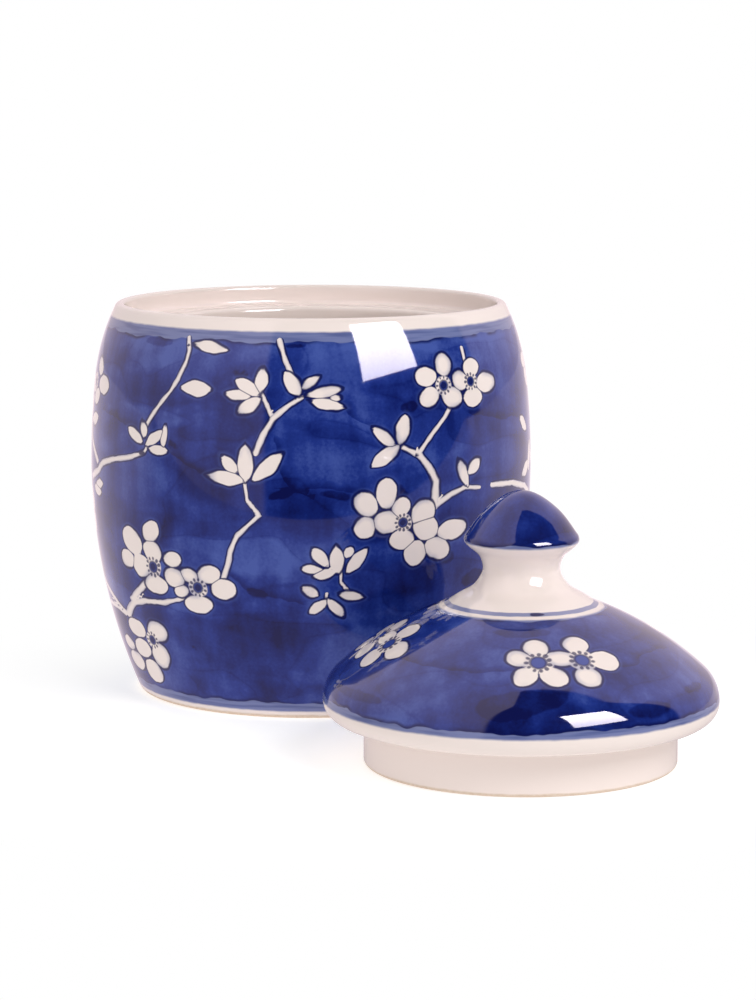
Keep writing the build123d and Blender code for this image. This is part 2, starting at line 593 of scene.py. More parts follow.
class Brushwork:
    """The noises and the piece's own attributes that every layer of the painting reads."""

    # Size of the patches in millimetres along each axis, detail, and how far they are bent.
    noises = {
        "edge": ((5, 5, 5), 1.5, 0.0),
        "weight": ((11, 11, 11), 1.0, 0.0),
        "patches": ((30, 30, 15), 2.0, 0.6),
        "strokes": ((7, 7, 42), 2.0, 0.0),
        "grain": ((1.1, 1.1, 1.1), 2.0, 0.0),
        "sheets": ((60, 60, 26), 1.0, 0.7),
        "wave": ((8, 8, 40), 1.0, 0.0),
        "streak": ((16, 16, 1.2), 1.0, 0.0),
        "swell": ((24, 24, 24), 0.0, 0.0),
        "ripple": ((4, 4, 4), 0.0, 0.0),
    }

    def __init__(self, tree: bpy.types.NodeTree) -> None:
        """Adds them to a material's tree."""
        self.tree = tree
        self.where = add(tree, "ShaderNodeTexCoord", out="Object")
        self.noise: dict[str, Any] = {}
        for name, (size, detail, bend) in self.noises.items():
            scale = tuple(1 / (s * MM) for s in size)
            spot = add(tree, "ShaderNodeMapping", {0: self.where, 3: scale}, vector_type="POINT")
            inputs = {"Vector": spot, "Scale": 1.0, "Detail": detail, "Distortion": bend}
            self.noise[name] = add(tree, "ShaderNodeTexNoise", inputs)
        self.wobble = add(tree, SUBTRACT, (self.noise["edge"], 0.5))
        self.kept: dict[str, Any] = {}
        for name in ("petals", "stems", "hearts", "wash", "skin"):
            vector = add(tree, "ShaderNodeAttribute", out="Vector", attribute_name=name)
            self.kept[name] = add(tree, "ShaderNodeSeparateXYZ", (vector,)).node.outputs
        for name in ("shadow", "knots"):
            self.kept[name] = add(tree, "ShaderNodeAttribute", out="Fac", attribute_name=name)


@dataclass(frozen=True)
class Drawing:
    """Masks and distances of what is drawn: bare shapes, their outlines and the blossoms' middles."""

    near: Any
    stem: Any
    petals: Any
    stalks: Any
    bare: Any
    line: Any


@dataclass(frozen=True)
class PaintedPorcelain:
    """Hard-paste porcelain, painted in cobalt on the raw clay and fired under a clear glaze.

    The eye gets a warm white body, a deep blue wash that pools and overlaps in soft-edged patches,
    hand-drawn navy outlines, and a wet, mirror-smooth glaze over all of it.
    """

    name: str
    low_band: float = 3.6  # width of the pale line along the lower edge of the wash
    high_band: float = 3.8  # and along its upper edge
    ring: float = 0.0  # half width of a painted line where "ring" is 0
    lift: float = 0.0  # how much lighter the wash is towards its upper edge
    pooling: float = 0.16  # how much darker a pool of the wash is
    stamens: float = 1.55  # radius of the ring of stamens, as a share of the heart
    stamen_count: int = 11
    core: float = 0.62  # dark spot in a blossom's heart, as a share of the heart
    foot: bool = True  # whether it stands on a rim that is wiped clean of glaze
    gloss: float = 0.045  # roughness of the glaze
    raw: float = 0.6  # and of bare clay
    wiped: Spot = (0.8, 1.5)  # heights between which the wiped rim gives way to glaze
    swell: float = 0.035  # relief of the glaze's slow waves, in millimetres
    ripple: float = 0.0015  # and of its small ones
    index: float = 1.5  # the glaze's index of refraction
    body: str = "#f1e4de"
    pale: str = "#727ba8"
    dull: str = "#586293"
    deep: str = "#12226a"
    mid: str = "#203484"
    light: str = "#4357a2"
    eye: str = "#3a4c98"
    navy: str = "#0f144c"
    pooled: str = "#0c124a"
    depths: tuple[float, ...] = (0.30, 0.42, 0.53, 0.68)  # tones of pooled, deep, mid and light
    pen: Spot = (0.3, 0.75)  # thinnest and thickest outline
    halo: float = 0.45  # how much lighter the wash is next to a bare shape
    biscuit: tuple[str, str] = ("#cdb49d", "#e2d2c2")  # unglazed clay, toasted by the kiln

    def make(self) -> bpy.types.Material:
        """Builds the material."""
        material = bpy.data.materials.new(self.name)
        material.use_nodes = True
        material.node_tree.nodes.clear()
        work = Brushwork(material.node_tree)
        drawing = self.drawing(work)
        colour = self.banded(work, self.wash(work), drawing)
        colour = self.hearts(work, colour)
        self.glaze(work, self.rimmed(work, colour))
        return material

    def drawing(self, work: Brushwork) -> Drawing:
        """Bare petals, leaves and stems, and the navy lines round them.

        Args:
            work: the material's shared nodes.

        Returns:
            Its masks and distances.
        """
        node, wobble = partial(add, work.tree), work.wobble
        first, second, third = work.kept["petals"]
        least = node(MINIMUM, (first, second))
        most = node(MAXIMUM, (first, second))
        near = node(MINIMUM, (least, third))
        lapped = node(MINIMUM, (most, third))
        lapped = node(MAXIMUM, (least, lapped))
        shift = node(MULTIPLY_ADD, (wobble, 1.4, -0.35))
        near = node(ADD, (near, shift))
        lapped = node(ADD, (lapped, shift))
        side, edge, cast_edge = work.kept["stems"]
        across = node(ABSOLUTE, (side,))
        across = node(SUBTRACT, (across, 1.0))
        ends = node(SMOOTH, (edge, 0.5, 1.1, 0.0, 3.0))
        stem = node(ADD, (across, ends))
        stem = node(MULTIPLY_ADD, (wobble, 1.1, stem))
        rho = node(MULTIPLY_ADD, (wobble, 0.7, work.kept["hearts"][2]))
        middle = node(SMOOTH, (rho, 1.75, 2.15, 1.0, 0.0))
        outside = node(SUBTRACT, (1.0, middle))
        petals = node(SMOOTH, (near, -0.3, 0.2, 1.0, 0.0))
        petals = node(MAXIMUM, (petals, middle))
        stalks = node(SMOOTH, (stem, -0.3, 0.2, 1.0, 0.0))
        bare = node(MAXIMUM, (petals, stalks))

        # Outlines: a line round each shape, heavier on the side where the brush was pressed.
        pen = node(SMOOTH, (work.noise["weight"], 0.38, 0.62, *self.pen))
        lines = []
        for shape, centre, inner, outer in ((near, 0.25, 0.3, 0.1), (stem, 0.3, 0.35, 0.08)):
            off = node(SUBTRACT, (shape, centre))
            off = node(ABSOLUTE, (off,))
            start = node(MULTIPLY, (pen, inner))
            end = node(ADD, (pen, outer))
            lines.append(node(SMOOTH, (off, start, end, 1.0, 0.0)))
        cast = node(ADD, (work.kept["shadow"], shift))
        cast = node(SMOOTH, (cast, -0.1, 0.45, 0.9, 0.0))
        clear = node(SMOOTH, (near, -0.2, 0.25))
        cast = node(MULTIPLY, (cast, clear))
        drawn = node(MAXIMUM, (lines[0], cast))
        drawn = node(MULTIPLY, (drawn, outside))

        # Where one petal laps over the next.
        gap = node(SUBTRACT, (lapped, near))
        lap = node(SMOOTH, (gap, 0.1, 0.6, 0.85, 0.0))
        both = node(SMOOTH, (lapped, 0.3, 0.9, 1.0, 0.0))
        lap = node(MULTIPLY, (lap, both))
        away = node(SMOOTH, (rho, 1.1, 1.5))
        lap = node(MULTIPLY, (lap, away))

        # Lines along the stems, which stop at the petals.
        stem_cast = node(MULTIPLY_ADD, (wobble, 1.1, cast_edge))
        stem_cast = node(SMOOTH, (stem_cast, -0.1, 0.4, 0.95, 0.0))
        clear = node(SMOOTH, (stem, -0.2, 0.25))
        stem_cast = node(MULTIPLY, (stem_cast, clear))
        stem_line = node(MULTIPLY, (lines[1], 0.95))
        stem_line = node(MAXIMUM, (stem_line, stem_cast))
        clear = node(SMOOTH, (near, -0.1, 0.4))
        stem_line = node(MULTIPLY, (stem_line, clear))
        stem_line = node(MULTIPLY, (stem_line, outside))
        line = node(MAXIMUM, (drawn, lap))
        line = node(MAXIMUM, (line, stem_line))
        return Drawing(near, stem, petals, stalks, bare, line)

    def wash(self, work: Brushwork) -> Any:
        """The cobalt wash: slow patches, brush strokes, grains of pigment, laps and pools."""
        node, wobble, noise = partial(add, work.tree), work.wobble, work.noise
        tone = node(MULTIPLY, (noise["patches"], 0.55))
        tone = node(MULTIPLY_ADD, (noise["strokes"], 0.33, tone))
        tone = node(MULTIPLY_ADD, (noise["grain"], 0.12, tone))
        off = node(SUBTRACT, (noise["sheets"], 0.502))
        off = node(ABSOLUTE, (off,))
        side, line, pool = work.kept["wash"]
        ragged = node(MULTIPLY_ADD, (wobble, 3.2, side))
        behind = node(SMOOTH, (ragged, 0.0, 3.4, -0.12, 0.0))
        sharp = node(SMOOTH, (ragged, -0.5, 0.0))
        close = node(SMOOTH, (line, 2.2, 4.0, 1.0, 0.0))
        stroke = node(MULTIPLY, (behind, sharp))
        pool = node(MULTIPLY_ADD, (wobble, 2.2, pool))
        for layer in (
            node(SMOOTH, (noise["sheets"], 0.5, 0.54, -0.03, 0.03)),
            node(SMOOTH, (off, 0.0, 0.01, -0.03, 0.0)),
            node(SMOOTH, (work.kept["skin"][1], 3.0, 26.0, self.lift, 0.0)),
            node(MULTIPLY, (stroke, close)),
            node(SMOOTH, (pool, -0.9, 0.2, -self.pooling, 0.0)),
        ):
            tone = node(ADD, (tone, layer))
        wash = node("ShaderNodeValToRGB", (tone,))
        ramp = wash.node.color_ramp
        ramp.elements[0].position, ramp.elements[0].color = self.depths[0], linear(self.pooled)
        ramp.elements[1].position, ramp.elements[1].color = self.depths[3], linear(self.light)
        for depth, colour in zip(self.depths[1:3], (self.deep, self.mid)):
            ramp.elements.new(depth).color = linear(colour)
        return wash

    def banded(self, work: Brushwork, wash: Any, drawing: Drawing) -> Any:
        """The drawing on the wash, inside the pale bands along its edges.

        Args:
            work: the material's shared nodes.
            wash: the wash's colour.
            drawing: what is drawn on it.

        Returns:
            The colour.
        """
        node, wobble, noise = partial(add, work.tree), work.wobble, work.noise
        low = node(MULTIPLY_ADD, (wobble, 0.5, work.kept["skin"][0]))
        high = node(MULTIPLY_ADD, (wobble, 0.5, work.kept["skin"][1]))
        low = node(SUBTRACT, (low, self.low_band))
        high = node(SUBTRACT, (high, self.high_band))
        inner = node(MINIMUM, (low, high))
        wave = node(MULTIPLY_ADD, (noise["wave"], 3.0, -1.5))
        inner = node(ADD, (inner, wave))
        filled = node(SMOOTH, (inner, -0.15, 0.2))
        dark = node(SMOOTH, (inner, 0.2, 1.5, 0.9, 0.0))
        some = node(SMOOTH, (noise["weight"], 0.4, 0.6, 0.15, 1.0))
        dark = node(MULTIPLY, (dark, some))
        ground = node(MIX, {0: dark, 6: wash, 7: linear(self.pooled)}, MIXED)
        faded = node(SMOOTH, (noise["streak"], 0.4, 0.75))
        band = node(MIX, {0: faded, 6: linear(self.pale), 7: linear(self.dull)}, MIXED)
        colour = node(MIX, {0: filled, 6: band, 7: ground}, MIXED)

        # A lighter halo where the wash thins out round a shape.
        halo = node(MINIMUM, (drawing.near, drawing.stem))
        halo = node(SMOOTH, (halo, 0.2, 1.8, self.halo, 0.0))
        halo = node(MULTIPLY, (halo, filled))
        colour = node(MIX, {0: halo, 6: colour, 7: linear(self.light)}, MIXED)

        # Thin blue inside the petals' edges and along the sides of the stems.
        shade = node(SMOOTH, (drawing.near, -2.2, 0.0))
        some = node(SMOOTH, (noise["weight"], 0.5, 0.7, 0.0, 0.5))
        shade = node(MULTIPLY, (shade, some))
        shade = node(MULTIPLY, (shade, drawing.petals))
        worn = node(ABSOLUTE, (work.kept["stems"][0],))
        worn = node(SMOOTH, (worn, 0.25, 1.0, 0.03, 0.42))
        only = node(SUBTRACT, (drawing.stalks, drawing.petals))
        worn = node(MULTIPLY, (only, worn))
        inside: Any = linear(self.body)
        for share in (shade, worn):
            inside = node(MIX, {0: share, 6: inside, 7: linear(self.pale)}, MIXED)
        colour = node(MIX, {0: drawing.bare, 6: colour, 7: inside}, MIXED)
        line = node(MULTIPLY, (drawing.line, 0.93))
        knot = node(MULTIPLY_ADD, (wobble, 0.8, work.kept["knots"]))
        knot = node(SMOOTH, (knot, -0.2, 0.25, 0.95, 0.0))
        for share in (line, knot):
            colour = node(MIX, {0: share, 6: colour, 7: linear(self.navy)}, MIXED)
        return colour

    def hearts(self, work: Brushwork, colour: Any) -> Any:
        """Hearts of the blossoms: a blue eye with a ring of short stamens.

        Args:
            work: the material's shared nodes.
            colour: what they are painted on.

        Returns:
            The colour with them.
        """
        node, wobble = partial(add, work.tree), work.wobble
        right, up, far = work.kept["hearts"]
        spacing = 2 * pi / self.stamen_count
        turn = node(ARCTAN2, (up, right))
        turn = node(MULTIPLY, (turn, 1 / spacing))
        turn = node(FRACT, (turn,))
        aside = node(SUBTRACT, (turn, 0.5))
        aside = node(MULTIPLY, (aside, spacing * self.stamens))
        outward = node(SUBTRACT, (far, self.stamens))
        outward = node(MULTIPLY, (outward, 0.75))
        spot = node("ShaderNodeCombineXYZ", (aside, outward))
        dots = node("ShaderNodeVectorMath", (spot,), "Value", operation="LENGTH")
        dots = node(MULTIPLY_ADD, (wobble, 0.4, dots))
        dots = node(SMOOTH, (dots, 0.16, 0.34, 0.85, 0.0))
        eye = node(MULTIPLY_ADD, (wobble, 0.5, far))
        eye = node(SMOOTH, (eye, 0.85, 1.15, 1.0, 0.0))
        rim = node(SUBTRACT, (far, 1.0))
        rim = node(ABSOLUTE, (rim,))
        rim = node(SMOOTH, (rim, 0.08, 0.28, 0.7, 0.0))
        dark = node(MAXIMUM, (dots, rim))
        if self.core:
            core = node(SMOOTH, (far, self.core, self.core + 0.3, 0.9, 0.0))
            dark = node(MAXIMUM, (dark, core))
        colour = node(MIX, {0: eye, 6: colour, 7: linear(self.eye)}, MIXED)
        return node(MIX, {0: dark, 6: colour, 7: linear(self.navy)}, MIXED)

    def rimmed(self, work: Brushwork, colour: Any) -> Any:
        """White porcelain beyond the wash's edges, with a painted ring where there is one.

        Args:
            work: the material's shared nodes.
            colour: the painting.

        Returns:
            The colour.
        """
        node, wobble = partial(add, work.tree), work.wobble
        low, high, middle = work.kept["skin"]
        painted = node(MINIMUM, (low, high))
        painted = node(MULTIPLY_ADD, (wobble, 0.5, painted))
        painted = node(SMOOTH, (painted, -0.4, 0.6))
        colour = node(MIX, {0: painted, 6: linear(self.body), 7: colour}, MIXED)
        if self.ring:
            ring = node(MULTIPLY_ADD, (wobble, 0.5, middle))
            ring = node(ABSOLUTE, (ring,))
            edges = (self.ring * 0.8, self.ring * 1.2)
            ring = node(SMOOTH, (ring, *edges, 0.9, 0.0))
            blot = node(MULTIPLY_ADD, (wobble, 2.2, work.kept["wash"][2]))
            blot = node(SMOOTH, (blot, -0.4, 0.2, 1.0, 0.0))
            blot = node(MULTIPLY, (blot, ring))
            for share, paint in ((ring, self.pale), (blot, self.navy)):
                colour = node(MIX, {0: share, 6: colour, 7: linear(paint)}, MIXED)
        return colour

    def glaze(self, work: Brushwork, colour: Any) -> None:
        """The clear glaze over everything but a rim that stood on the kiln shelf.

        Args:
            work: the material's shared nodes.
            colour: the colour under the glaze.
        """
        node, noise = partial(add, work.tree), work.noise
        rough: Any = self.gloss
        if self.foot:
            height = node("ShaderNodeSeparateXYZ", (work.where,)).node.outputs[2]
            raw = node(MULTIPLY_ADD, (work.wobble, 0.6 * MM, height))
            raw = node(SMOOTH, (raw, *(level * MM for level in self.wiped), 1.0, 0.0))
            brown, cream = (linear(c) for c in self.biscuit)
            clay = node(MIX, {0: noise["grain"], 6: brown, 7: cream}, MIXED)
            colour = node(MIX, {0: raw, 6: colour, 7: clay}, MIXED)
            rough = node(SMOOTH, (raw, 0.0, 1.0, self.gloss, self.raw))
        relief = node(MULTIPLY, (noise["swell"], self.swell))
        relief = node(MULTIPLY_ADD, (noise["ripple"], self.ripple, relief))
        normal = node("ShaderNodeBump", {"Height": relief, "Strength": 1.0, "Distance": MM})
        looks = {"Base Color": colour, "Roughness": rough, "Normal": normal, "IOR": self.index}
        node("ShaderNodeOutputMaterial", (node("ShaderNodeBsdfPrincipled", looks),))


# ---- the object ---------------------------------------------------------------------------------


@dataclass
class Jar:
    """The open jar, one turned piece of clay."""

    foot_height: float = 1.1
    belly_height: float = 82.0
    lower_curve: float = 207.0
    upper_curve: float = 283.0
    shoulder_curve: float = 78.0
    shoulder_start: float = 113.6
    shoulder_end: float = 138.9
    rim_round: float = 2.4
    wall: float = 5.2
    mouth_radius: float = 67.0
    gallery_height: float = 133.2
    gallery_radius: float = 53.2
    gallery_thickness: float = 5.6
    gallery_round: float = 1.6
    gallery_root: float = 115.4
    root_round: float = 7.0
    floor_height: float = 10.2
    floor_round: float = 13.0
    foot_width: float = 7.0
    foot_recess: float = 4.6
    foot_draft: float = 2.6
    foot_lean: float = 23.0  # heading at the start of its outer rounding
    foot_round: float = 2.08
    root_inset: float = 7.25  # from the largest radius to the gallery's root
    root_end: float = 112.0
    wash_start: float = 2.4
    wash_end: float = 136.0

    def outline(self, belly: float) -> tuple[Outline, slice]:
        """The half section, from under the foot, up the outside and down the inside.

        Args:
            belly: the jar's largest radius.

        Returns:
            The outline, and its points on the outside wall.
        """
        turn = degrees(asin((self.belly_height - self.foot_height) / self.lower_curve))
        edge = belly - self.lower_curve * (1 - cos(radians(turn)))
        foot = edge - self.foot_height
        drawn = Outline((0.0, self.foot_recess))
        inside = foot - self.foot_width
        draft = (inside - self.foot_draft, self.foot_recess, 1.5)
        drawn.run([draft, (inside, 0.0, 1.0), (foot, 0.0, 0.0)], 6.0)
        drawn.heading = self.foot_lean
        drawn.arc(self.foot_round, 90 - turn - self.foot_lean, 0.6)
        start = len(drawn.points)
        drawn.points[-1] = (edge, self.foot_height)
        drawn.heading = 90 - turn
        upper = degrees(asin((self.shoulder_start - self.belly_height) / self.upper_curve))
        rise = (self.shoulder_end - self.shoulder_start) / self.shoulder_curve
        shoulder = degrees(asin(sin(radians(upper)) + rise)) - upper
        drawn.arc(self.lower_curve, turn, 1.05).arc(self.upper_curve, upper, 1.05)
        drawn.arc(self.shoulder_curve, shoulder, 1.05).arc(self.rim_round, 90 - upper - shoulder, 0.6)
        end = len(drawn.points)
        crest = drawn.points[-1][0]
        drawn.arc(crest - self.mouth_radius, 90, 0.5)
        nose, low = self.gallery_radius, self.gallery_height - self.gallery_thickness
        inner = self.upper_curve - self.wall
        lean = asin((self.root_end - self.belly_height) / inner)
        drawn.run(
            [
                (self.mouth_radius, self.gallery_height, self.gallery_round),
                (nose, self.gallery_height, self.gallery_round),
                (nose, low, self.gallery_round),
                (belly - self.root_inset, self.gallery_root, self.root_round),
                (belly - self.wall - inner * (1 - cos(lean)), self.root_end, 0.0),
            ],
            1.6,
        )
        drawn.heading = 270 + degrees(lean)
        drawn.arc(inner, -degrees(lean), 5.0)
        curve = self.lower_curve - self.wall
        drop = self.belly_height - self.floor_round - self.floor_height
        sweep = degrees(asin(drop / (curve - self.floor_round)))
        drawn.arc(curve, -sweep, 5.0).arc(self.floor_round, sweep - 90, 2.0)
        drawn.run([(0.0, self.floor_height, 0.0)], 8.0)
        return drawn, slice(start, end)

    def build(self, lathe: Lathe) -> bpy.types.Object:
        """Turns, paints and places the jar."""
        low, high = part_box("jar")
        axis = Vector(((low.x + high.x) / 2, (low.y + high.y) / 2, 0.0))
        drawn, outside = self.outline((high.x - low.x) / 2 / MM)
        finish = PaintedPorcelain("painted_porcelain_jar", lift=0.11).make()
        piece = lathe.turn("jar_painted", drawn, axis, finish)
        skin = Skin(piece, drawn, axis)
        points = np.array(drawn.points)[outside]

        def level(height: float) -> float:
            """The way up the wall at a height."""
            return skin.way_at(height, False, outside)

        def radius(height: float) -> float:
            """The wall's radius at a height."""
            return float(np.interp(height, points[:, 1], points[:, 0]))

        skin.keep_edges(level(self.wash_start), level(self.wash_end))
        front = jar_front()
        painting = front.joined(front.turned(180), jar_sides(), jar_sides().turned(180))
        Painter(skin, level, radius).paint(painting)
        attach(piece, "jar")
        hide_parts("jar")
        return piece


@dataclass
class Lid:
    """The lid: a dome with a flange under it, and a mushroom knob luted to its crown."""

    flange_radius: float = 51.5
    flange_wall: float = 4.6
    flange_round: float = 1.3
    seat_height: float = 15.1
    edge_height: float = 21.3
    edge_round: float = 13.2
    edge_turn: float = 47.9
    dome_curve: float = 112.5
    dome_turn: float = 20.6
    wall: float = 5.0
    wash_start: float = 20.7
    wash_end: float = 26.9  # a radius, near the crown
    cap_start: float = 73.2
    ring_radius: float = 24.4
    foot_points: int = 12  # the knob's outline passes its ring within this many points of its foot
    flare: tuple[Spot, ...] = ((20.6, 55.6), (15.4, 58.9), (12.6, 64.6), (13.7, 68.3), (17.3, 71.6))
    cap_edge: tuple[Spot, ...] = ((18.8, 73.9), (18.5, 75.1), (17.8, 76.1))
    cap_dome: tuple[Spot, ...] = ((15.8, 79.0), (13.75, 81.7), (11.2, 84.3))

    def outline(self, edge: float) -> tuple[Outline, slice, Spot]:
        """The dome's half section, from its hollow, under the flange and up over the dome.

        Args:
            edge: the lid's largest radius.

        Returns:
            The outline, its points on the painted side, and the rim of the flat crown.
        """
        dome = Outline((edge, self.edge_height), 90.0)
        dome.arc(self.edge_round, self.edge_turn, 0.8).arc(self.dome_curve, self.dome_turn, 0.8)
        crown = dome.points[-1]
        square = radians(self.edge_turn + self.dome_turn)
        hollow = (crown[0] - self.wall * cos(square), crown[1] - self.wall * sin(square))
        drawn = Outline((0.0, hollow[1]))
        drawn.run([(*hollow, 0.0)], 5.0)
        drawn.heading = self.edge_turn + self.dome_turn + 270.0
        drawn.arc(self.dome_curve - self.wall, -self.dome_turn, 3.0)
        drawn.arc(self.edge_round - self.wall, -self.edge_turn, 1.5)
        under = self.edge_height - self.seat_height
        drawn.arc(under - self.wall, -90, 0.8)
        outer, inner = self.flange_radius, self.flange_radius - self.flange_wall
        drawn.run(
            [
                (inner, self.seat_height + self.wall, 2.4),
                (inner, 0.0, self.flange_round),
                (outer, 0.0, self.flange_round),
                (outer, self.seat_height, 0.8),
                (edge - under, self.seat_height, 0.0),
            ],
            2.0,
        )
        drawn.heading = 0.0
        drawn.arc(under, 90, 0.8)
        start = len(drawn.points) - 1
        drawn.points += dome.points[1:]
        end = len(drawn.points)
        drawn.run([(0.0, crown[1], 0.0)], 6.0)
        return drawn, slice(start, end), crown

    def knob_outline(self, crown: Spot, top: float) -> Outline:
        """The knob's half section, from the flat crown up over the cap."""
        drawn = Outline((0.0, crown[1])).run([(*crown, 0.0)], 6.0)
        drawn.curve(self.flare, self.edge_turn + self.dome_turn + 90, 42.0)
        drawn.curve([*self.cap_edge, *self.cap_dome, (0.0, top)], 42.0, 180.0)
        return drawn

    def build(self, lathe: Lathe) -> list[bpy.types.Object]:
        """Turns, paints and places the dome and the knob."""
        low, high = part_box("lid")
        axis = Vector(((low.x + high.x) / 2, (low.y + high.y) / 2, 0.0))
        drawn, outside, crown = self.outline((high.x - low.x) / 2 / MM)
        finish = PaintedPorcelain(
            "painted_porcelain_lid", low_band=2.2, high_band=0.9, pooling=0.12, core=0.0, stamens=1.4
        ).make()
        dome = lathe.turn("lid_dome_painted", drawn, axis, finish)
        skin = Skin(dome, drawn, axis)

        def level(radius: float) -> float:
            """The way up the dome at a radius."""
            return skin.way_at(radius, True, outside)

        skin.keep_edges(skin.way_at(self.wash_start, False, outside), level(self.wash_end))
        Painter(skin, level, lambda radius: radius).paint(lid_painting())

        shape = self.knob_outline(crown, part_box("lid_knob")[1].z / MM)
        finish = PaintedPorcelain("painted_porcelain_knob", low_band=0.8, ring=0.95, foot=False).make()
        knob = lathe.turn("lid_knob_painted", shape, axis, finish)
        skin = Skin(knob, shape, axis)
        points, ways = np.array(shape.points), shape.lengths()
        first = int(np.argmax(points[:, 0]))
        cap = float(np.interp(self.cap_start, points[first:, 1], ways[first:]))
        foot = slice(first, first + self.foot_points)
        ring = float(np.interp(-self.ring_radius, -points[foot, 0], ways[foot]))
        skin.keep_edges(cap, BEYOND + ways[-1], ring)
        blot = Painting(pools=((10.0, ring, 4.5, 1.7, 0.0),))
        Painter(skin, lambda way: way, lambda way: self.ring_radius).paint(blot)
        for piece, node, slot in (
            (dome, "lid", "painted_porcelain"),
            (knob, "lid_knob", "white_porcelain"),
        ):
            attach(piece, "lid")
            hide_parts(node)
        return [dome, knob]


